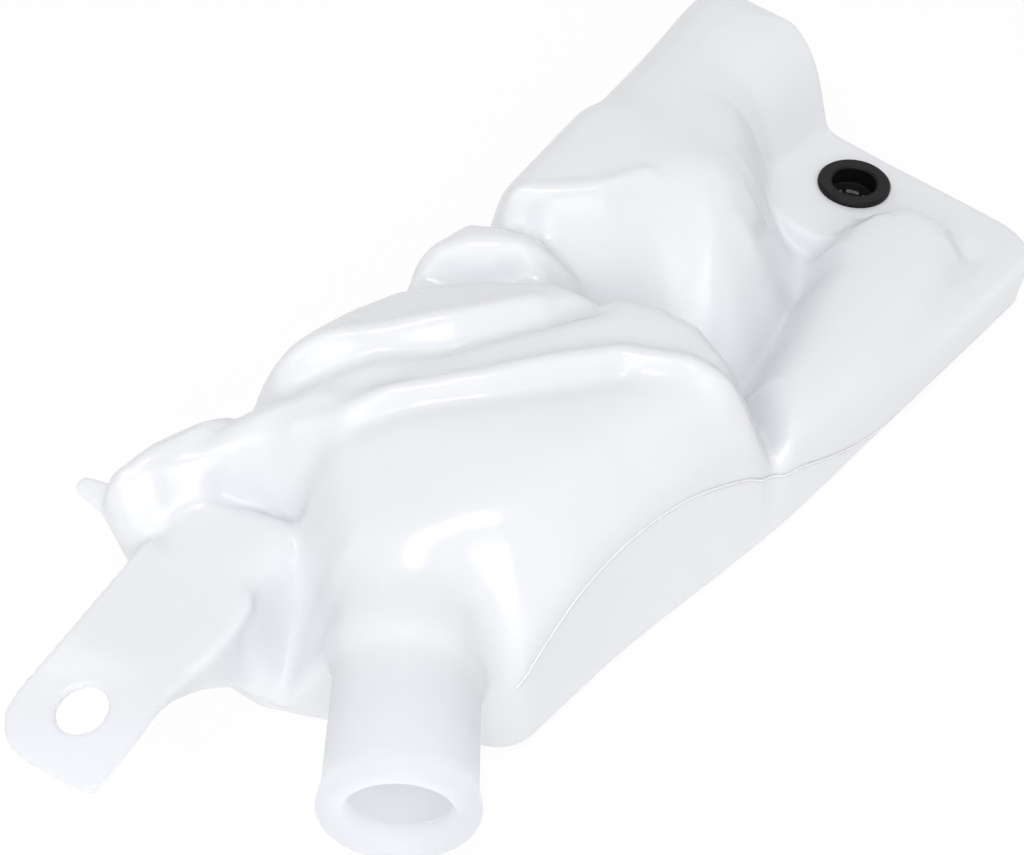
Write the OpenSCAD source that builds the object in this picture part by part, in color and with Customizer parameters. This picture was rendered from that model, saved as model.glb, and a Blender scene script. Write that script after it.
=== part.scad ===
// Windscreen washer reservoir: a blow-moulded tank lying on its flat back,
// with a filler neck, a bolt tab and a rubber pump grommet with its strainer.
// X runs from the filler end to the pump end, Y to the left, Z up from the back.

/* [Tank] */
// Length of the tank between its front wall and its pump end
tank_len = 347; // [325:1:360]
// Right edge of the flat back, measured from the middle
right_w = 76; // [70:1:82]
// Left edge of the tank at the filler end
left_w = 67; // [64:1:72]
// How far the left wall flares out per millimetre towards the pump end
left_flare = 0.24; // [0:0.01:0.3]
// Wall thickness of the blown shell
wall = 2.4; // [1.8:0.1:3.2]

/* [Heights above the back] */
// Parting line, bolt tab and neck axis at the filler end
seam_z = 52; // [46:1:58]
// Parting line at the pump end
seam_low_z = 8; // [5:1:12]
// Flat pad that carries the pump grommet
pad_z = 30; // [26:1:34]
// Floor of the trough that takes the pump body
trough_z = 22; // [18:1:26]
// Top of the main chamber
dome_z = 86; // [80:1:92]
// Top of the tall block beside the pump
block_z = 75; // [66:1:80]
// Top of the rounded lobe on the other side of the pump
lobe_z = 47; // [40:1:52]

/* [Filler neck] */
// Outer diameter of the neck
neck_d = 43; // [36:1:46]
// Clear diameter inside the rolled lip
mouth_d = 28; // [24:1:32]
// Distance from the middle of the back to the lip, along the neck
neck_reach = 178; // [170:1:185]

/* [Bolt tab] */
// Width of the tab
tab_w = 38.5; // [32:0.5:44]
// Thickness of the tab
tab_t = 3; // [2.5:0.5:6]
// Diameter of the bolt hole
tab_hole_d = 14; // [8:0.5:16]

/* [Pump grommet] */
// Outer diameter of the grommet flange
flange_d = 30; // [27:0.5:33]
// Diameter of the hole in the tank
seat_d = 24; // [22:0.5:26]
// Bore that grips the pump inlet
inlet_d = 18.6; // [16:0.2:20]

/* [Hidden] */
half_len = tank_len / 2;
pump_pos = [148.6, 0.8];
pump_at = [pump_pos.x, pump_pos.y, pad_z];
flat_r = 20;
neck_off = 96.5;
root_slim = 1.2;

// Small tools for the shape functions
function unit(t) = max(0, min(1, t));
function ease(t) = let (c = unit(t)) c * c * (3 - 2 * c);
function mix(a, b, t) = a + (b - a) * t;
function soft(t, r) = (t + sqrt(t * t + r * r)) / 2;
function soft_max(a, b, k) = (a + b + sqrt((a - b) * (a - b) + k * k)) / 2;
function seg_dist(p, a, b) =
    let (ab = b - a, t = unit((p - a) * ab / (ab * ab))) norm(p - a - ab * t);
function path_dist(p, pts) = min([for (i = [1:len(pts) - 1]) seg_dist(p, pts[i - 1], pts[i])]);
function crosses(p, a, b) =
    (a.y > p.y) != (b.y > p.y) && p.x < (b.x - a.x) * (p.y - a.y) / (b.y - a.y) + a.x;
function area_dist(p, pts) =
    let (n = len(pts),
         d = min([for (i = [0:n - 1]) seg_dist(p, pts[i], pts[(i + 1) % n])]),
         hits = [for (i = [0:n - 1]) if (crosses(p, pts[i], pts[(i + 1) % n])) 1])
    len(hits) % 2 == 1 ? -d : d;
// A flat-topped mound over an area, falling away at a slope past its edge
function mound(p, pts, top, slope, rounding) = top - slope * soft(area_dist(p, pts), rounding);
// A bead (or with a negative height a groove) along a path
function bead(p, pts, height, width) = let (d = path_dist(p, pts) / width) height * exp(-d * d);

// Outline of the tank at its parting line
corner_fr = 7;
corner_fl = 13;
corner_er = 17;
corner_el = 12;
mean_w = right_w + left_w;
function hump(t) = exp(-t * t);
function round_in(r, d) = d >= r ? 0 : r - sqrt(max(0, r * r - (r - d) * (r - d)));
function right_y(x) = -right_w + 12.5 * hump((x + 72) / 75);
function left_y(x) =
    left_w + left_flare * soft(x + 10, 30) - 8 * hump((x + 120) / 12) - 6.5 * hump((x + 52) / 11)
    - 1.5 * hump((x + 1) / 8);
function front_x(v) =
    let (y = -right_w + mean_w * v)
    -half_len + 0.7 * soft(-(y + 4), 10) + 1 - 1.5 * hump((y - 50) / 16)
    + round_in(corner_fr, mean_w * v) + round_in(corner_fl, mean_w * (1 - v));
function end_x(v) =
    half_len - round_in(corner_er, mean_w * v) - round_in(corner_el, mean_w * (1 - v));
function seam_at(x) =
    let (fall = mix(seam_z + 12, seam_low_z, ease((x + 75) / 150)))
    min(fall, seam_z + 12 * ease((x + 124) / 16));

// Bolt tab: its axis, and its flat top that runs on into the front of the tank
tab_rot = 17.6;
tab_top = seam_z + 2;
tab_hole = [-212.8, 7.6];
function tab_point(s, n) =
    tab_hole + [s * cos(tab_rot) - n * sin(tab_rot), s * sin(tab_rot) + n * cos(tab_rot)];

// Main chamber
dome_area = [[-96, 18], [-108, 10], [-124, 4], [-133, -9], [-130, -20], [-120, -32], [-101, -43],
             [-59, -46], [-34, -53], [-16, -56], [-8, -46], [-3, -32], [-5, -18], [-12, -6], [-20, -1],
             [-60, 13]];
// Rolled shoulder on the left of the chamber, the lobe behind it and the one at the front corner
shoulder_area = [[-150, 50], [-130, 36], [-100, 18], [-26, -8], [-17, 2], [-18, 16], [-30, 33], [-44, 46],
                 [-57, 53], [-72, 56], [-98, 56], [-110, 52], [-124, 50]];
brow_area = [[-148, 51], [-131, 41], [-106, 25], [-90, 16], [-92, 4], [-112, 14], [-128, 28], [-140, 42]];
rear_area = [[-42, 61], [-32, 52], [-22, 41], [-15, 30], [-11, 26], [-6, 32], [-3, 42], [-7, 53], [-14, 62],
             [-30, 63]];
corner_area = [[-165, 57], [-158, 54], [-148, 53], [-136, 51], [-128, 54], [-134, 57], [-150, 60],
               [-163, 59]];
tab_area = [tab_point(46, 17), tab_point(46, -16), tab_point(74, -15), tab_point(90, -10),
            tab_point(80, 10), tab_point(72, 14)];
// Tall block beside the pump, and its nose towards the chamber
block_area = [[4, 60], [16, 50], [30, 38], [45, 31], [58, 22], [70, 16], [82, 15], [93, 20], [104, 31],
              [116, 44], [130, 50], [180, 50], [180, 108], [110, 91.5], [60, 80], [14, 69]];
function block_slope(p) =
    mix(mix(1.05, 2.6, ease((p.x - 62) / 24)), 2, ease((p.y - 58 - 0.2 * p.x) / 8));
nose_area = [[52, 4], [64, 3], [76, 11], [82, 22], [60, 34], [44, 26]];
// Long lobe on the right of the trough
lobe_area = [[8, -68], [24, -44], [52, -36], [75, -28], [90, -25], [101, -19], [114, -17.5], [127, -20],
             [137, -30], [139, -42], [132, -50], [115, -56], [95, -61], [60, -66]];

function shoulder_top(p) =
    let (w = 0.53 * p.x + 0.848 * p.y)
    mix(mix(84, 77, ease((w + 15) / 40)), 68, ease((-85 - p.x) / 60));
function brow_top(p) = 83 + 0.45 * min(0, p.x + 106);
function neck_side(p) = abs(p.y - p.x - neck_off) / sqrt(2);
// The neck runs on into the front as a round back with a fillet on each side
function neck_ridge(p) =
    let (d = neck_side(p), s = -(p.x + p.y) / sqrt(2), r = neck_d / 2 - root_slim, q = 0.87 * r)
    seam_z + (d < q ? sqrt(r * r - d * d) : r / 2 - 1.74 * (d - q)) - 1.2 * soft(104 - s, 8);
function pad_floor(p) =
    let (r = norm(p - pump_pos))
    mix(trough_z, pad_z, max(ease((44 - r) / 5), ease((-60 - p.y) / 5), ease((p.x - 145) / 5)));

function skin_raw(p) =
    let (dome = mound(p, dome_area, dome_z, mix(1.2, 2.6, ease((p.x + 50) / 40)), 9),
         shoulder = mound(p, shoulder_area, shoulder_top(p), 1.9, 7),
         brow = mound(p, brow_area, brow_top(p), 1.4, 5),
         rear = mound(p, rear_area, 75, 1.7, 6),
         corner = mound(p, corner_area, 71, 1.6, 6),
         tab = mound(p, tab_area, tab_top + 0.8, 2, 2.5),
         block_top = block_z + 2 * ease((p.x - 120) / 40),
         block = mound(p, block_area, block_top, block_slope(p), 7),
         nose = mound(p, nose_area, 70, 2, 6),
         lobe_side = ease((p.y + 60 - 0.245 * p.x) / 8),
         lobe = mound(p, lobe_area, lobe_z, mix(1.6, 3.5, lobe_side), 4),
         s1 = soft_max(soft_max(dome, brow, 3), shoulder, 3),
         s2 = soft_max(soft_max(s1, rear, 3), corner, 4),
         s3 = soft_max(s2, tab, 4),
         s4 = soft_max(s3, soft_max(block, nose, 5), 4),
         s5 = soft_max(s4, lobe, 4),
         s6 = soft_max(s5, neck_ridge(p), 9))
    soft_max(s6, pad_floor(p), 4);
rim_1 = [[-150, 52], [-131, 40], [-106, 24], [-90, 16], [-72, 5], [-52, -6], [-36, -17],
         [-25, -26], [-17, -38], [-15, -50]];
groove_1 = [[-128, 66], [-108, 43], [-84, 32], [-64, 16], [-38, 4], [-22, -3]];
roll_2 = [[-107, 50], [-93, 44], [-78, 32], [-57, 20], [-36, 8]];
groove_2 = [[-51, 72], [-36, 54], [-22, 40], [-10, 26], [-4, 12]];
roll_3 = [[-40, 56], [-28, 48], [-15, 37], [-13, 29]];
groove_3 = [[-2, 76], [-3, 62], [6, 52], [11, 42], [12, 32]];
block_rim = [[6, 60], [16, 51], [30, 39], [46, 32]];
tab_groove = [[-152, 46], [-142, 38], [-135, 24], [-131, 12]];
star = [[-136, 8], [-149, -6]];
pocket_1 = [[-166, -6], [-159, -12]];
pocket_2 = [[-129, -58], [-124, -64]];
function skin_z(p) =
    let (raw = skin_raw(p)
             + bead(p, rim_1, 4, 6) + bead(p, groove_1, -5, 6) + bead(p, roll_2, 4, 6)
             + bead(p, groove_2, -8, 6) + bead(p, roll_3, 3, 7) + bead(p, groove_3, -7, 5)
             + bead(p, block_rim, 3, 5) + bead(p, tab_groove, -3, 4) + bead(p, star, -3, 3)
             + bead(p, pocket_1, -6, 6) + bead(p, pocket_2, -5, 5),
         flat = ease((norm(p - pump_pos) - flat_r) / 6))
    mix(pad_z, raw, flat);

// Closed skin: a top sheet over a grid, wall rings below its edge and one flat back.
// With a depth it is the inner skin, that far inside the outer one.
fine_edge = [0, 0.012, 0.035, 0.07];
coarse_edge = [0, 0.06];
near = 3.5;
edge_r = 4;
edge_share = 0.11;
end_gap = 1.2;
top_gap = 1.15;
around = [[0, 0], [near, 0], [-near, 0], [0, near], [0, -near]];
function steps(n, edge) =
    concat(edge, [for (i = [0:n]) mix(edge_share, 1 - edge_share, i / n)],
           [for (i = [len(edge) - 1:-1:0]) 1 - edge[i]]);
function sheet_xy(u, v, t) =
    let (x = mix(front_x(v) + end_gap * t, end_x(v) - end_gap * t, u))
    [x, mix(right_y(x) + t, left_y(x) - t, v)];
function edge_drop(p, u, v) =
    let (in = min(mean_w * min(v, 1 - v), tank_len * min(u, 1 - u)))
    round_in(edge_r, in) * ease((neck_side(p) - 13) / 8);
function sheet_z(p, t) =
    t == 0 ? skin_z(p) : min([for (d = around) skin_z(p + d)]) - top_gap * t;
function base_out(p) =
    p.y < -50 ? right_y(p.x) + mix(68.3, right_w - 0.8, ease((p.x + 90) / 110))
              : -2.5 * ease((-100 - p.x) / 30);
// Height and outward offset of each wall ring below a point of the sheet's edge
function ring_levels(p, t) =
    let (zs = min(seam_at(p.x), p.z - 1.5), out = base_out(p))
    [[zs, 0.035 * (p.z - zs)], [min(zs - 0.5, 8 + t), out + 0.8], [2.2 + t, out - 0.4], [t, out - 3.5]];
module skin(nu, nv, edge, t) {
    us = steps(nu, edge);
    vs = steps(nv, edge);
    cu = len(us);
    cv = len(vs);
    sheet = [for (u = us) for (v = vs)
        let (p = sheet_xy(u, v, t), drop = t > 0 ? 0 : edge_drop(p, u, v))
        [p.x, p.y, sheet_z(p, t) - drop]];
    loop = concat([for (i = [0:cu - 1]) i * cv], [for (j = [1:cv - 1]) (cu - 1) * cv + j],
                  [for (i = [cu - 2:-1:0]) i * cv + cv - 1], [for (j = [cv - 2:-1:1]) j]);
    n = len(loop);
    rim = [for (k = loop) sheet[k]];
    dirs = [for (i = [0:n - 1])
        let (a = rim[(i + n - 1) % n], b = rim[(i + 1) % n], d = [b.y - a.y, a.x - b.x]) d / norm(d)];
    rings = [for (r = [0:3]) for (i = [0:n - 1])
        let (p = rim[i], level = ring_levels(p, t)[r])
        [p.x + dirs[i].x * level[1], p.y + dirs[i].y * level[1], level[0]]];
    m = cu * cv;
    // Each cell is cut along the diagonal that lies closer to the skin at the cell's middle
    sheet_faces = [for (i = [0:cu - 2]) for (j = [0:cv - 2])
        let (a = i * cv + j, b = a + 1, c = a + cv, d = c + 1,
             mid = (sheet[a] + sheet[b] + sheet[c] + sheet[d]) / 4,
             z = 2 * sheet_z([mid.x, mid.y], t))
        each abs(sheet[a].z + sheet[d].z - z) < abs(sheet[b].z + sheet[c].z - z)
            ? [[a, b, d], [a, d, c]] : [[a, b, c], [b, d, c]]];
    edge_faces = [for (i = [0:n - 1]) let (j = (i + 1) % n)
        each [[loop[i], loop[j], m + j], [loop[i], m + j, m + i]]];
    ring_faces = [for (r = [0:2]) for (i = [0:n - 1]) let (j = (i + 1) % n, a = m + r * n, b = a + n)
        each [[a + i, a + j, b + j], [a + i, b + j, b + i]]];
    back = [for (i = [0:n - 1]) m + 3 * n + i];
    polyhedron(concat(sheet, rings), concat(sheet_faces, edge_faces, ring_faces, [back]), convexity = 10);
}

// Bolt tab: rounded sections along its axis, flat at the tip and deep at the tank
tab_stations = [-18.8, -17.8, -15.4, -12, -8, -4, 5, 10, 15, 20, 25, 29, 33, 36, 38.5, 40.5, 42, 50, 60];
tab_shift = 0.5;
tab_flat = 9;
tab_deep = 33;
tip_r = 13;
function tab_left(s) =
    tab_w / 2 + tab_shift - (s < -4 ? tip_r - sqrt(max(0, tip_r * tip_r - pow((s + 4) * 0.88, 2))) : 0);
function tab_right(s) = tab_shift - tab_w / 2 + (s < -16.6 ? (-16.6 - s) * 8 : 0);
// Underside: flat past the hole, then a web that curves down to the back
function tab_under(s) =
    let (t = unit((s - tab_flat) / tab_deep)) (tab_top - tab_t) * pow(1 - pow(t, 1.5), 0.6);
function tab_ramp(s) = tab_top - 0.04 * pow(max(0, s - 46), 2);
function tab_section(s, t) =
    let (l = tab_left(s) - t, r = tab_right(s) + t, hi = tab_ramp(s) - t, lo = max(tab_under(s) + t, t),
         c = min(mix(1.2, 6, ease(s / 45)), (hi - lo) / 2.2, (l - r) / 3))
    [for (q = [[l - c, hi - c, 0], [r + c, hi - c, 90], [r + c, lo + c, 180], [l - c, lo + c, 270]])
        for (a = [90, 60, 30, 0]) [q.x + c * cos(q.z + 90 - a), q.y + c * sin(q.z + 90 - a)]];
module tab_body(t, from, to) {
    stations = [for (s = tab_stations) if (s >= from && s <= to) s];
    k = 16;
    n = len(stations);
    pts = [for (s = stations) for (q = tab_section(s, t)) [s, q.x, q.y]];
    sides = [for (i = [0:n - 2]) for (j = [0:k - 1]) let (a = i * k + j, b = i * k + (j + 1) % k)
        each [[a, a + k, b + k], [a, b + k, b]]];
    first = [for (j = [0:k - 1]) j];
    last = [for (j = [k - 1:-1:0]) (n - 1) * k + j];
    translate([tab_hole.x, tab_hole.y, 0]) rotate(tab_rot)
        polyhedron(pts, concat(sides, [first, last]), convexity = 4);
}
// Small flat lug at the front left corner, on the parting line
module corner_lug() {
    translate([0, 0, seam_z - 1.5]) linear_extrude(3)
        polygon([[-173.5, 74.8], [-171.4, 76.6], [-168.5, 77], [-163, 66], [-164, 58], [-172, 52]]);
}

// Filler neck: a straight tube that widens a little towards a thick rolled lip
neck_root = 112;
lip_axial = 6.5;
module along_neck(s) {
    translate([-neck_off / 2, neck_off / 2, seam_z]) rotate([0, 90, 225]) translate([0, 0, s]) children();
}
module neck_tube() {
    r = neck_d / 2;
    m = mouth_d / 2;
    lip = (r - m) / 2;
    throat = neck_reach - lip_axial;
    along_neck(0) rotate_extrude($fn = 96)
        polygon(concat([[0, neck_root], [r - 2 * root_slim, neck_root], [r - 0.4, neck_root + 14],
                        [r - 0.4, throat - 16]],
                       [for (a = [0:12:180]) [m + lip + lip * cos(a), throat + lip_axial * sin(a)]],
                       [[0, throat]]));
}
module neck_bore() {
    throat = neck_reach - lip_axial;
    deep = neck_root - 10;
    along_neck(deep) cylinder(d = neck_d - 2 * root_slim - 2 * wall, h = throat - 6 - deep, $fn = 96);
    along_neck(deep) cylinder(d = mouth_d, h = neck_reach, $fn = 96);
}

module reservoir_body() {
    color([0.94, 0.95, 0.96]) difference() {
        union() {
            skin(64, 32, fine_edge, 0);
            tab_body(0, -20, 60);
            neck_tube();
            corner_lug();
        }
        skin(30, 14, coarse_edge, wall);
        tab_body(wall, 25, 60);
        neck_bore();
        translate([tab_hole.x, tab_hole.y, tab_top - 2 * tab_t])
            cylinder(d = tab_hole_d, h = 4 * tab_t, $fn = 64);
        translate([pump_pos.x, pump_pos.y, trough_z])
            cylinder(d = seat_d, h = pad_z, $fn = 64);
    }
}

// Rubber grommet: flange on the pad, waist in the hole, lip inside the tank
flange_t = 2.2;
waist_h = 3;
lip_h = 5;
grommet_low = waist_h + lip_h;
collar_r = inlet_d / 2 + 1;
collar_h = 2;
module pump_grommet() {
    r = flange_d / 2;
    w = seat_d / 2;
    color([0.1, 0.1, 0.1]) translate(pump_at) difference() {
        rotate_extrude($fn = 96)
            polygon([[0, -grommet_low], [w - 0.8, -grommet_low], [w + 1.5, -waist_h - 1.5],
                     [w + 1.5, -waist_h], [w, -waist_h], [w, 0], [r, 0], [r, flange_t - 0.8],
                     [r - 0.8, flange_t], [0, flange_t]]);
        translate([0, 0, -2 * grommet_low]) cylinder(d = inlet_d, h = 4 * grommet_low, $fn = 96);
        translate([0, 0, flange_t - 0.8])
            cylinder(r1 = inlet_d / 2, r2 = inlet_d / 2 + 0.9, h = 0.9, $fn = 96);
        translate([0, 0, -2 * grommet_low]) cylinder(r = collar_r, h = grommet_low + collar_h, $fn = 96);
    }
}

// Plastic strainer cage pushed into the foot of the grommet
cage_h = 10;
rib_n = 8;
rib_w = 1.4;
cage_t = 1.6;
band_h = 1.5;
module band(z, h) {
    translate([0, 0, z]) difference() {
        cylinder(r = collar_r, h = h, $fn = 64);
        translate([0, 0, -1]) cylinder(r = collar_r - cage_t, h = h + 2, $fn = 64);
    }
}
module pump_strainer() {
    color([0.12, 0.12, 0.12]) translate(pump_at) translate([0, 0, -grommet_low - cage_h]) union() {
        cylinder(r = collar_r, h = band_h, $fn = 64);
        band(cage_h / 2 - band_h / 2, band_h);
        band(cage_h - band_h, band_h + collar_h);
        intersection() {
            band(0, cage_h);
            for (i = [0:rib_n - 1]) rotate(i * 360 / rib_n) translate([0, -rib_w / 2, 0])
                cube([collar_r + 1, rib_w, cage_h]);
        }
    }
}

reservoir_body();
pump_grommet();
pump_strainer();
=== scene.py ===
import math

import bmesh
import bpy
import numpy as np
import openvdb
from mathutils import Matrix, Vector
from mathutils.bvhtree import BVHTree


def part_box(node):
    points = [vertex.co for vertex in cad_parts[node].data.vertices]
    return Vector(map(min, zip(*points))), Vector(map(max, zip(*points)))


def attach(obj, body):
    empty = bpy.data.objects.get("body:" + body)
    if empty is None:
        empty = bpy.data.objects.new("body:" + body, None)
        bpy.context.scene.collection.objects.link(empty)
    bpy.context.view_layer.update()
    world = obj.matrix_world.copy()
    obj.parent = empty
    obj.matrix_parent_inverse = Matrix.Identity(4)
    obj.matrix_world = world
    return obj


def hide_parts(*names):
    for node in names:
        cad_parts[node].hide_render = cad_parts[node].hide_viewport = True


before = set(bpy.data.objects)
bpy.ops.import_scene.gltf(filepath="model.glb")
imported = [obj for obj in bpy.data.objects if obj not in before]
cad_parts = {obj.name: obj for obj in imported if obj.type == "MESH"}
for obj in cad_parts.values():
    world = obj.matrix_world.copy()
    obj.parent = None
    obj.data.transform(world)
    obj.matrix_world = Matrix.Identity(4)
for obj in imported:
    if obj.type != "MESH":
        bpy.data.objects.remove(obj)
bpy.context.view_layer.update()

# Reservoir body: tank, filler neck, bolt tab and corner lug are one blow-moulded shell of natural
# polyethylene, milky and a little glossy, with soft edges everywhere and a parting line round the middle.
# Its form is worked out in millimetres as a signed field, and the skin is taken where the field is zero.
mm = 0.001
body_low = [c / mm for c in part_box("reservoir_body")[0]]
body_high = [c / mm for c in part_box("reservoir_body")[1]]
tank_len = 347
right_w = 76
left_w = 67
mean_w = right_w + left_w
wall = 2.4
seam_z = 52
seam_low_z = 8
pad_z = 30
trough_z = 22
dome_z = 85.5
block_z = 75
lobe_z = 47
pump_low, pump_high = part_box("pump_grommet")
pump_x = (pump_low.x + pump_high.x) / 2 / mm
pump_y = (pump_low.y + pump_high.y) / 2 / mm
seat_r = 12


def mix(a, b, t):
    return a + (b - a) * t


def ease(t):
    c = np.clip(t, 0, 1)
    return c * c * (3 - 2 * c)


def hump(t):
    return np.exp(-t * t)


def soft(t, r):
    return (t + np.sqrt(t * t + r * r)) / 2


def soft_max(a, b, k):
    return (a + b + np.sqrt((a - b) ** 2 + k * k)) / 2


def round_in(r, d):
    return r - np.sqrt(np.clip(r * r - np.clip(r - d, 0, r) ** 2, 0, None))


def seg_dist(x, y, a, b):
    abx, aby = b[0] - a[0], b[1] - a[1]
    t = np.clip(((x - a[0]) * abx + (y - a[1]) * aby) / (abx * abx + aby * aby), 0, 1)
    return np.hypot(x - a[0] - abx * t, y - a[1] - aby * t)


def path_dist(x, y, pts):
    return np.minimum.reduce([seg_dist(x, y, a, b) for a, b in zip(pts, pts[1:])])


def area_dist(x, y, pts):
    loop = list(zip(pts, pts[1:] + pts[:1]))
    inside = np.zeros(np.shape(x), bool)
    for a, b in loop:
        if a[1] != b[1]:
            cross = (b[0] - a[0]) * (y - a[1]) / (b[1] - a[1]) + a[0]
            inside ^= ((a[1] > y) != (b[1] > y)) & (x < cross)
    d = np.minimum.reduce([seg_dist(x, y, a, b) for a, b in loop])
    return np.where(inside, -d, d)


def mound(x, y, pts, top, slope, rounding):
    return top - slope * soft(area_dist(x, y, pts), rounding)


def bead(x, y, pts, height, width):
    return height * hump(path_dist(x, y, pts) / width)


def right_y(x):
    return -right_w + 12.5 * hump((x + 72) / 75)


def left_y(x):
    dents = 8 * hump((x + 120) / 12) + 6.5 * hump((x + 52) / 11) + 1.5 * hump((x + 1) / 8)
    return left_w + 0.24 * soft(x + 10, 30) - dents


def front_x(v):
    y = -right_w + mean_w * v
    corners = round_in(7, mean_w * v) + round_in(13, mean_w * (1 - v))
    return -tank_len / 2 + 0.7 * soft(-(y + 4), 10) + 1 - 1.5 * hump((y - 50) / 16) + corners


def end_x(v):
    return tank_len / 2 - round_in(17, mean_w * v) - round_in(12, mean_w * (1 - v))


def seam_at(x):
    fall = mix(seam_z + 12, seam_low_z, ease((x + 75) / 150))
    return np.minimum(fall, seam_z + 12 * ease((x + 124) / 16))


tab_hole = (-212.8, 7.6)
tab_turn = math.radians(17.6)
tab_top = seam_z + 2
tab_t = 3
neck_off = 96.2
neck_r = 20.7
root_slim = 2.2


def tab_point(s, n):
    return (tab_hole[0] + s * math.cos(tab_turn) - n * math.sin(tab_turn),
            tab_hole[1] + s * math.sin(tab_turn) + n * math.cos(tab_turn))


dome_area = [(-96, 18), (-112, 17), (-120, 8), (-127, -3), (-132, -14), (-127, -25), (-114, -36),
             (-103, -45), (-90, -48), (-59, -47), (-34, -53), (-16, -56), (-8, -46), (-3, -32),
             (-5, -18), (-12, -6), (-20, -1), (-60, 13)]
shoulder_area = [(-150, 50), (-130, 36), (-100, 18), (-26, -8), (-17, 2), (-18, 16), (-30, 33), (-44, 46),
                 (-57, 53), (-72, 56), (-98, 56), (-110, 52), (-124, 50)]
brow_area = [(-152, 53), (-131, 41), (-121, 31), (-113, 20), (-104, 12), (-92, 4), (-85, 20), (-106, 40),
             (-130, 52)]
rear_area = [(-42, 61), (-32, 52), (-22, 41), (-15, 30), (-11, 26), (-6, 32), (-3, 42), (-7, 53), (-14, 62),
             (-30, 63)]
corner_area = [(-165, 57), (-158, 54), (-148, 53), (-136, 51), (-128, 54), (-134, 57), (-150, 60), (-163, 59)]
tab_area = [tab_point(58, 17), tab_point(44, 14), tab_point(44, -20), tab_point(69, -21.5),
            tab_point(75, -19), tab_point(80, -13), tab_point(79, -2), tab_point(75, 10), tab_point(73, 18)]
block_area = [(4, 60), (16, 50), (30, 38), (45, 31), (58, 22), (70, 16), (82, 15), (93, 20), (104, 31),
              (116, 44), (130, 50), (180, 50), (180, 108), (110, 91.5), (60, 80), (14, 69)]
nose_area = [(52, 4), (64, 3), (76, 11), (82, 22), (60, 34), (44, 26)]
lobe_area = [(8, -68), (24, -44), (52, -36), (75, -28), (90, -25), (101, -19), (114, -17.5), (127, -20),
             (137, -30), (139, -42), (132, -50), (115, -56), (95, -61), (60, -66)]
crest = [(-155, 53), (-131, 40), (-120, 29)]
bead_1 = [(-120, 28), (-108, 18.5), (-94, 12), (-72, -4), (-50.5, -16), (-35, -27), (-23, -44), (-20, -56)]
groove_0 = [(-107, 11), (-94, 5), (-71, -12), (-54, -24), (-41, -32)]
groove_1 = [(-128, 66), (-108, 43), (-84, 32), (-64, 16), (-38, 4), (-22, -3)]
roll_2 = [(-107, 50), (-93, 44), (-78, 32), (-57, 20), (-36, 8)]
groove_2 = [(-51, 72), (-36, 54), (-22, 40), (-10, 26), (-4, 12)]
roll_3 = [(-40, 56), (-28, 48), (-15, 37), (-13, 29)]
groove_3 = [(-2, 76), (-3, 62), (4, 52)]
block_rim = [(6, 60), (16, 51), (30, 39), (46, 32)]
tab_groove = [(-143, 39), (-136, 29), (-130, 17)]
pocket = [(-129, -58), (-124, -64)]
nook = [(-150, -2), (-165, -6)]
valley = [(30, -34), (54, -28), (84, -17)]


def neck_side(x, y):
    return np.abs(y - x - neck_off) / math.sqrt(2)


def neck_ridge(x, y):
    d = neck_side(x, y)
    s = -(x + y) / math.sqrt(2)
    r = neck_r - root_slim
    q = 0.87 * r
    back = np.where(d < q, np.sqrt(np.clip(r * r - d * d, 0, None)), r / 2 - 1.74 * (d - q))
    return seam_z + back - 1.2 * soft(104 - s, 8)


def pad_floor(x, y):
    r = np.hypot(x - pump_x, y - pump_y)
    return mix(pad_z, trough_z, ease((r - 38) / 6) * ease((y + 66) / 9) * ease((156 - x) / 30))


def crest_along(x, y):
    return 0.59 * (x + 112.8) - 0.807 * (y - 18.5)


def crest_ahead(x, y):
    return soft(-0.807 * (x + 112.8) - 0.59 * (y - 18.5), 5)


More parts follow.
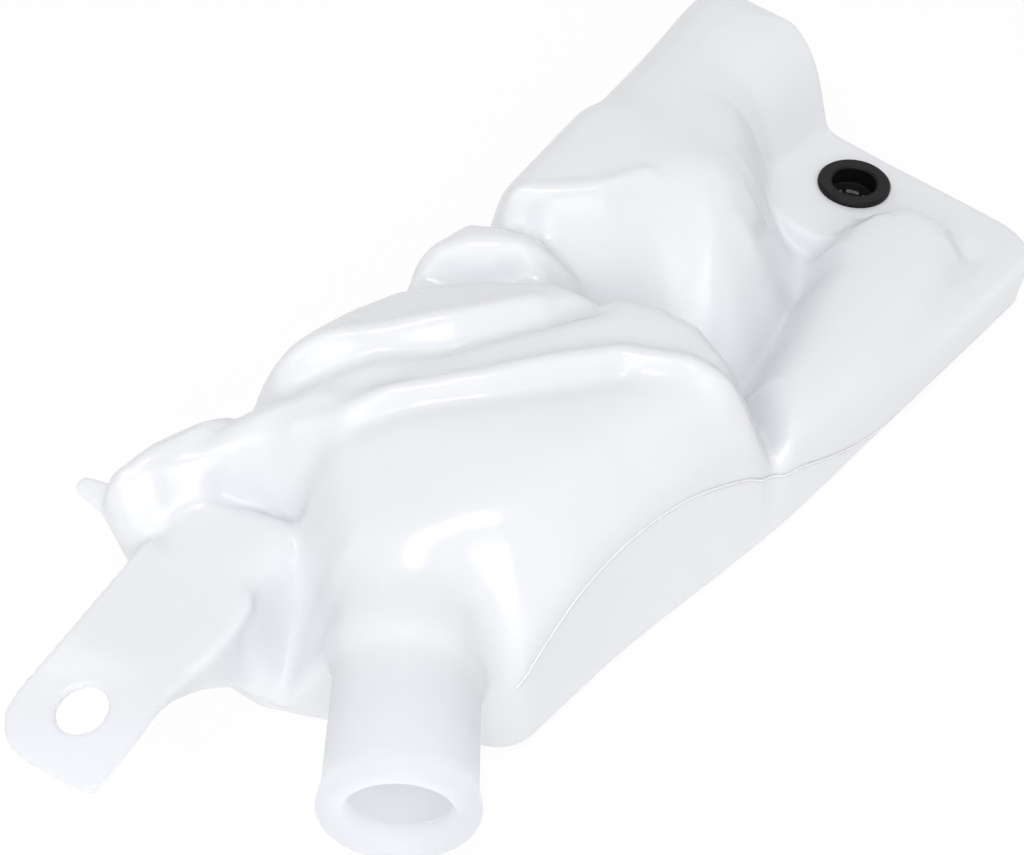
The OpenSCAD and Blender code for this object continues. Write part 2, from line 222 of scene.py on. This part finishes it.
def top_height(x, y):
    w = 0.53 * x + 0.848 * y
    shoulder_top = mix(mix(84, 77, ease((w + 15) / 40)), 68, ease((-85 - x) / 60))
    t = crest_along(x, y)
    dome_top = dome_z - 4 * (1 - ease((t + 10) / 60)) - 0.18 * crest_ahead(x, y)
    dome_slope = mix(mix(1.8, 1.1, ease((t - 5) / 20)), 2.6, ease((x + 70) / 70))
    brow_top = 83 + 0.45 * np.minimum(0, x + 106)
    block_top = block_z + 2 * ease((x - 120) / 40)
    nose_slope = mix(2.8, 1.8, ease((y - 15) / 30))
    block_slope = mix(mix(1.05, nose_slope, ease((x - 40) / 55)), 2, ease((y - 58 - 0.2 * x) / 8))
    lobe_slope = mix(1.6, 3.2, ease((y + 68 - 0.245 * x) / 26))
    z = mound(x, y, dome_area, dome_top, dome_slope, 6)
    z = soft_max(z, mound(x, y, brow_area, brow_top, 1.9, 9), 6)
    z = soft_max(z, mound(x, y, shoulder_area, shoulder_top, 1.9, 7), 3)
    z = soft_max(z, mound(x, y, rear_area, 75, 1.7, 6), 3)
    z = soft_max(z, mound(x, y, corner_area, 71, 1.6, 6), 4)
    z = soft_max(z, mound(x, y, tab_area, tab_top + 0.3, 3.5, 3), 6)
    block_round = mix(7, 13, ease((x - 62) / 24))
    block = mound(x, y, block_area, block_top, block_slope, block_round)
    z = soft_max(z, soft_max(block, mound(x, y, nose_area, 70, 1.7, 10), 12), 4)
    z = soft_max(z, mound(x, y, lobe_area, lobe_z, lobe_slope, 7), 4)
    z = soft_max(z, neck_ridge(x, y), 9)
    z = soft_max(z, pad_floor(x, y), 7)
    for pts, height, width in [(crest, 1.5, 6), (bead_1, 3.6, 4.5), (groove_0, -1.8, 5), (groove_1, -5.5, 6),
                               (roll_2, 4, 6), (groove_2, -8, 6), (roll_3, 3, 7), (groove_3, -5, 6),
                               (block_rim, 3, 5), (tab_groove, -3.5, 3), (pocket, -6, 5), (nook, -7, 9),
                               (valley, -6, 10)]:
        z = z + bead(x, y, pts, height, width)
    pad = ease((np.hypot(x - pump_x, y - pump_y) - 20) / 6)
    return mix(pad_z, z, pad)


def blend_min(a, b, k):
    h = np.clip(0.5 + 0.5 * (b - a) / k, 0, 1)
    return mix(b, a, h) - k * h * (1 - h)


def round_max(a, b, r):
    inner = np.minimum(np.maximum(a, b) + r, 0)
    return np.hypot(np.clip(a + r, 0, None), np.clip(b + r, 0, None)) - r + inner


def outline_points(count):
    t = (1 - np.cos(np.linspace(0, math.pi, count))) / 2
    low, high = np.zeros(count), np.ones(count)
    u = np.concatenate([t[:-1], high[:-1], t[:0:-1], low[:-1]])
    v = np.concatenate([low[:-1], t[:-1], high[:-1], t[:0:-1]])
    x = mix(front_x(v), end_x(v), u)
    return x, mix(right_y(x), left_y(x), v)


def tank_field(x, y, z):
    h = top_height(x, y)
    slope_x, slope_y = np.gradient(h, cell)
    top = (z - h[..., None]) / np.sqrt(1 + slope_x ** 2 + slope_y ** 2)[..., None]
    edge_x, edge_y = outline_points(70)
    side = area_dist(x, y, list(zip(edge_x, edge_y)))
    edge_x, edge_y = outline_points(300)
    near = np.array([np.argmin((a[:, None] - edge_x) ** 2 + (b[:, None] - edge_y) ** 2, axis=1)
                     for a, b in zip(x, y)])
    px, py = edge_x[near], edge_y[near]
    edge_top = top_height(edge_x, edge_y)[near] - edge_r
    seam = np.minimum(seam_at(px), edge_top - 1.5)
    base = np.where(py < -50, right_y(px) + mix(68.3, right_w - 0.8, ease((px + 90) / 110)),
                    -2.5 * ease((-100 - px) / 30))
    side, edge_top, seam, base = (a[..., None] for a in (side, edge_top, seam, base))
    foot = np.minimum(seam - 0.5, 8)
    above = 0.035 * (edge_top - z)
    below = mix(0.035 * (edge_top - seam), base + 0.8, np.clip((seam - z) / (seam - foot), 0, 1))
    out = np.where(z > seam, above, below) - 4.3 * np.clip(1 - z / foot, 0, 1) ** 2.5
    return round_max(round_max(top, side - out, edge_r), -z, 0.6)


def tab_field(s, n, z):
    outline = [(-18.3, -15.5), (-16.6, -18.75), (12, -18.75), (20, -19.9), (30, -22.2), (38, -23), (48, -22),
               (60, -15), (60, 19.75), (-4, 19.75), (-10, 18.6), (-14.5, 15), (-17.4, 10), (-18.6, 3)]
    under = (tab_top - tab_t) * np.power(1 - np.power(np.clip((s - 9) / 33, 0, 1), 1.5), 0.6)
    slope_x, slope_y = np.gradient(under, cell)
    below = (under[..., None] - z) / np.sqrt(1 + slope_x ** 2 + slope_y ** 2)[..., None]
    above = z - (tab_top - 0.04 * np.clip(s - 48, 0, None) ** 2)[..., None]
    return round_max(round_max(above, area_dist(s, n, outline)[..., None], 1.2), below, 1.2)


cell = 1.2
edge_r = 4
tab_r = 7
mouth_r = 14.4
lip_r = 3.6
lip_mid = mouth_r + lip_r
lip_at = 172.3
lip_tilt = math.radians(10)
margin = 3
xs = np.arange(body_low[0] - margin, body_high[0] + margin, cell)
ys = np.arange(body_low[1] - margin, body_high[1] + margin, cell)
zs = np.arange(-margin, body_high[2] + margin, cell)
gx, gy = np.meshgrid(xs, ys, indexing="ij")
along = (-(gx + gy) / math.sqrt(2))[..., None]
aside = ((gy - gx - neck_off) / math.sqrt(2))[..., None]
off_axis = np.hypot(aside, zs - seam_z)
lip_along = (along - lip_at) * math.cos(lip_tilt) + (zs - seam_z) * math.sin(lip_tilt)
lip_up = (zs - seam_z) * math.cos(lip_tilt) - (along - lip_at) * math.sin(lip_tilt)
tab_s = (gx - tab_hole[0]) * math.cos(tab_turn) + (gy - tab_hole[1]) * math.sin(tab_turn)
tab_n = (gy - tab_hole[1]) * math.cos(tab_turn) - (gx - tab_hole[0]) * math.sin(tab_turn)
tank = tank_field(gx, gy, zs)
tab = tab_field(tab_s, tab_n, zs)
tube = np.maximum(off_axis - neck_r, np.maximum(95 - along, lip_along))
chamber = blend_min(tank, tube, 10)
lip = np.hypot(np.hypot(aside, lip_up) - lip_mid, lip_along) - lip_r
lug_outline = [(-173.5, 74.8), (-171.4, 76.6), (-168.5, 77), (-163, 66), (-164, 58), (-172, 52)]
lug = round_max(area_dist(gx, gy, lug_outline)[..., None], np.abs(zs - seam_z) - 1.5, 1)
join = mix(6, 1.2, ease((zs - 43) / 8))
solid = blend_min(blend_min(blend_min(chamber, tab, join), lip, 2.5), lug, 2)
hollow = np.maximum(np.minimum(chamber, tab) + wall, lip_along + 5)
hollow = np.minimum(hollow, np.maximum(np.hypot(aside, lip_up) - mouth_r, 150 - along))
solid = round_max(solid, -hollow, 0.5)
solid = round_max(solid, (tab_r - np.hypot(tab_s, tab_n))[..., None], 0.5)
seat = np.minimum((seat_r - np.hypot(gx - pump_x, gy - pump_y))[..., None], zs - trough_z)
solid = round_max(round_max(solid, seat, 0.4), -zs, 0.6)

grid = openvdb.FloatGrid(5.0)
grid.copyFromArray(np.clip(solid, -5, 5).astype(np.float32))
points, quads = grid.convertToQuads(0.0)
points = points * cell + np.array([xs[0], ys[0], zs[0]])
coarse = bpy.data.meshes.new("coarse")
coarse.from_pydata((points * mm).tolist(), [], quads[:, ::-1].tolist())
coarse.update()
draft = bpy.data.objects.new("draft", coarse)
bpy.context.scene.collection.objects.link(draft)
calm = draft.modifiers.new("calm", "SMOOTH")
calm.factor = 0.5
calm.iterations = 3
trim = draft.modifiers.new("trim", "DECIMATE")
trim.ratio = 190000 / (2 * len(quads))
view = bpy.context.evaluated_depsgraph_get()
mesh = bpy.data.meshes.new_from_object(draft.evaluated_get(view), depsgraph=view)
mesh.name = "tank_shell"
bpy.data.objects.remove(draft)

tree = BVHTree.FromPolygons([v.co for v in mesh.vertices], [f.vertices for f in mesh.polygons])
edge_x, edge_y = outline_points(150)
first = int(np.argmin(np.hypot(edge_x + 120, edge_y + 65.4)))
edge_x, edge_y = np.roll(edge_x, -first), np.roll(edge_y, -first)
edge_z = np.minimum(seam_at(edge_x), top_height(edge_x, edge_y) - edge_r - 1.5)
edge_z = np.mean([np.roll(edge_z, k) for k in range(-3, 4)], axis=0)
out_x, out_y = np.gradient(edge_y), -np.gradient(edge_x)
last = int(np.nonzero((edge_y > 40) & (edge_x > -162))[0].max())
rings = []
body_box = np.array([body_low, body_high]) * mm
weld = bmesh.new()
weld.from_mesh(mesh)
for k in range(1, last):
    away = Vector((out_x[k], out_y[k], 0)).normalized()
    start = Vector((edge_x[k], edge_y[k], edge_z[k])) * mm
    spot, normal, _, _ = tree.ray_cast(start + away * 0.012, -away)
    rise = (edge_z[k + 1] - edge_z[k - 1]) / max(1, math.hypot(out_x[k], out_y[k]) * 2)
    run = Vector((-away.y, away.x, rise))
    across = normal.cross(run).normalized() * 0.0006
    ridge = 0.00025 + 0.0016 * math.exp(-((k - 1) / 1.5) ** 2)
    corners = [spot - across - normal * 0.0003, spot + normal * ridge, spot + across - normal * 0.0003]
    rings.append([weld.verts.new(c) for c in np.clip(corners, *body_box)])
for a, b in zip(rings, rings[1:]):
    for k in range(3):
        weld.faces.new([a[k - 1], a[k], b[k], b[k - 1]]).material_index = 1
weld.faces.new(rings[0][::-1]).material_index = 1
weld.faces.new(rings[-1]).material_index = 1
weld.to_mesh(mesh)
weld.free()
shell = bpy.data.objects.new("tank_shell", mesh)
bpy.context.scene.collection.objects.link(shell)
mesh.shade_smooth()


def new_material(name):
    material = bpy.data.materials.new(name)
    material.use_nodes = True
    tree = material.node_tree
    return material, tree.nodes, tree.links, tree.nodes["Principled BSDF"]


def noise(nodes, links, scale, detail):
    place = nodes.new("ShaderNodeTexCoord")
    texture = nodes.new("ShaderNodeTexNoise")
    texture.inputs["Scale"].default_value = scale
    texture.inputs["Detail"].default_value = detail
    links.new(place.outputs["Object"], texture.inputs["Vector"])
    return texture


def ramp(nodes, links, source, low, high):
    spread = nodes.new("ShaderNodeMapRange")
    spread.inputs["To Min"].default_value = low
    spread.inputs["To Max"].default_value = high
    links.new(source, spread.inputs["Value"])
    return spread


milky, nodes, links, skin = new_material("milky_polyethylene")
skin.inputs["Base Color"].default_value = (0.91, 0.925, 0.965, 1)
skin.inputs["IOR"].default_value = 1.52
skin.inputs["Subsurface Weight"].default_value = 0.35
skin.inputs["Subsurface Radius"].default_value = (1.0, 1.0, 1.0)
skin.inputs["Subsurface Scale"].default_value = 0.006
cloud = noise(nodes, links, 28, 3)
links.new(ramp(nodes, links, cloud.outputs["Fac"], 0.2, 0.28).outputs["Result"], skin.inputs["Roughness"])
grain = noise(nodes, links, 900, 2)
bump = nodes.new("ShaderNodeBump")
bump.inputs["Strength"].default_value = 0.12
bump.inputs["Distance"].default_value = 0.0002
links.new(grain.outputs["Fac"], bump.inputs["Height"])
links.new(bump.outputs["Normal"], skin.inputs["Normal"])
through = nodes.new("ShaderNodeBsdfTranslucent")
through.inputs["Color"].default_value = (0.98, 0.985, 1, 1)
links.new(bump.outputs["Normal"], through.inputs["Normal"])
both = nodes.new("ShaderNodeMixShader")
place = nodes.new("ShaderNodeTexCoord")
toward = nodes.new("ShaderNodeVectorMath")
toward.operation = "DOT_PRODUCT"
toward.inputs[1].default_value = (-0.707, -0.707, 0)
links.new(place.outputs["Object"], toward.inputs[0])
thin = ramp(nodes, links, toward.outputs["Value"], 0.12, 0.8)
thin.inputs["From Min"].default_value = 0.133
thin.inputs["From Max"].default_value = 0.17
links.new(thin.outputs["Result"], both.inputs["Fac"])
links.new(skin.outputs[0], both.inputs[1])
links.new(through.outputs[0], both.inputs[2])
links.new(both.outputs[0], nodes["Material Output"].inputs["Surface"])
mesh.materials.append(milky)
flash, nodes, links, finish = new_material("parting_flash")
finish.inputs["Base Color"].default_value = (0.94, 0.95, 0.98, 1)
cloud = noise(nodes, links, 28, 3)
links.new(ramp(nodes, links, cloud.outputs["Fac"], 0.25, 0.35).outputs["Result"], finish.inputs["Roughness"])
mesh.materials.append(flash)
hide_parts("reservoir_body")
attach(shell, "root")

# Pump grommet: one moulded ring of black rubber, pressed into the hole on the pad.
# Its flange lies on the pad, its waist fills the hole and its lip holds it from inside.
rubber, nodes, links, finish = new_material("black_rubber")
finish.inputs["Base Color"].default_value = (0.004, 0.004, 0.0045, 1)
finish.inputs["Specular IOR Level"].default_value = 0.2
cloud = noise(nodes, links, 120, 3)
links.new(ramp(nodes, links, cloud.outputs["Fac"], 0.42, 0.6).outputs["Result"], finish.inputs["Roughness"])
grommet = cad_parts["pump_grommet"]
grommet.data.materials.clear()
grommet.data.materials.append(rubber)

# Pump strainer: a cage of black plastic in the foot of the grommet, seen through its bore.
# It is injection moulded, with a disc at the bottom and windows between its ribs.
cage, nodes, links, finish = new_material("black_plastic")
finish.inputs["Base Color"].default_value = (0.02, 0.02, 0.022, 1)
cloud = noise(nodes, links, 200, 2)
links.new(ramp(nodes, links, cloud.outputs["Fac"], 0.3, 0.45).outputs["Result"], finish.inputs["Roughness"])
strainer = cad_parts["pump_strainer"]
strainer.data.materials.clear()
strainer.data.materials.append(cage)

# Studio: the camera at the photo's viewing angle, a white floor that keeps a soft shadow,
# a pale sky and two large soft lamps.
camera = bpy.data.cameras.new("camera")
camera.sensor_width = 36
camera.lens = 42.19
viewer = bpy.data.objects.new("camera", camera)
viewer.location = (-0.235, -0.180, 0.354)
viewer.rotation_euler = (math.radians(39.5), 0, math.radians(-45))
bpy.context.scene.collection.objects.link(viewer)
bpy.context.scene.camera = viewer

floor_mesh = bpy.data.meshes.new("floor")
floor_mesh.from_pydata([(-6, -6, 0), (6, -6, 0), (6, 6, 0), (-6, 6, 0)], [], [(0, 1, 2, 3)])
floor = bpy.data.objects.new("floor", floor_mesh)
floor.location.z = -0.0002
bpy.context.scene.collection.objects.link(floor)
paper = bpy.data.materials.new("white_paper")
paper.use_nodes = True
nodes, links = paper.node_tree.nodes, paper.node_tree.links
nodes.clear()
matt = nodes.new("ShaderNodeBsdfDiffuse")
matt.inputs["Color"].default_value = (1, 1, 1, 1)
glow = nodes.new("ShaderNodeEmission")
rays = nodes.new("ShaderNodeLightPath")
most = nodes.new("ShaderNodeMath")
most.operation = "MAXIMUM"
share = nodes.new("ShaderNodeMath")
share.operation = "MULTIPLY_ADD"
share.inputs[1].default_value = 0.9
share.use_clamp = True
blend = nodes.new("ShaderNodeMixShader")
end = nodes.new("ShaderNodeOutputMaterial")
links.new(rays.outputs["Is Glossy Ray"], most.inputs[0])
links.new(rays.outputs["Is Transmission Ray"], most.inputs[1])
links.new(rays.outputs["Is Camera Ray"], share.inputs[0])
links.new(most.outputs[0], share.inputs[2])
links.new(share.outputs[0], blend.inputs["Fac"])
links.new(matt.outputs[0], blend.inputs[1])
links.new(glow.outputs[0], blend.inputs[2])
links.new(blend.outputs[0], end.inputs["Surface"])
floor_mesh.materials.append(paper)

sky = bpy.data.worlds.new("sky")
sky.use_nodes = True
nodes, links = sky.node_tree.nodes, sky.node_tree.links
nodes.clear()
seen = nodes.new("ShaderNodeBackground")
lit = nodes.new("ShaderNodeBackground")
lit.inputs["Strength"].default_value = 0.62
rays = nodes.new("ShaderNodeLightPath")
also = nodes.new("ShaderNodeMath")
also.operation = "MAXIMUM"
shown = nodes.new("ShaderNodeMath")
shown.operation = "MAXIMUM"
blend = nodes.new("ShaderNodeMixShader")
end = nodes.new("ShaderNodeOutputWorld")
links.new(rays.outputs["Is Camera Ray"], shown.inputs[0])
links.new(rays.outputs["Is Glossy Ray"], also.inputs[0])
links.new(rays.outputs["Is Transmission Ray"], also.inputs[1])
links.new(also.outputs[0], shown.inputs[1])
links.new(shown.outputs[0], blend.inputs["Fac"])
links.new(lit.outputs[0], blend.inputs[1])
links.new(seen.outputs[0], blend.inputs[2])
links.new(blend.outputs[0], end.inputs["Surface"])
seen.inputs["Color"].default_value = (1, 1, 1, 1)
lit.inputs["Color"].default_value = (1, 1, 1, 1)
bpy.context.scene.world = sky
bpy.context.scene.view_settings.view_transform = "Standard"


def soft_lamp(name, place, aim, size, power):
    lamp = bpy.data.lights.new(name, "AREA")
    lamp.shape = "DISK"
    lamp.size = size
    lamp.energy = power
    holder = bpy.data.objects.new(name, lamp)
    holder.location = place
    holder.rotation_euler = (Vector(aim) - Vector(place)).to_track_quat("-Z", "Y").to_euler()
    bpy.context.scene.collection.objects.link(holder)


soft_lamp("key_lamp", (-1.24, -0.35, 1.5), (0, 0, 0.03), 1.0, 6)
soft_lamp("fill_lamp", (-0.9, -1.2, 0.9), (0, 0, 0.03), 0.8, 6.5)
soft_lamp("top_lamp", (-0.25, -0.15, 1.5), (0, 0, 0.03), 0.22, 4)
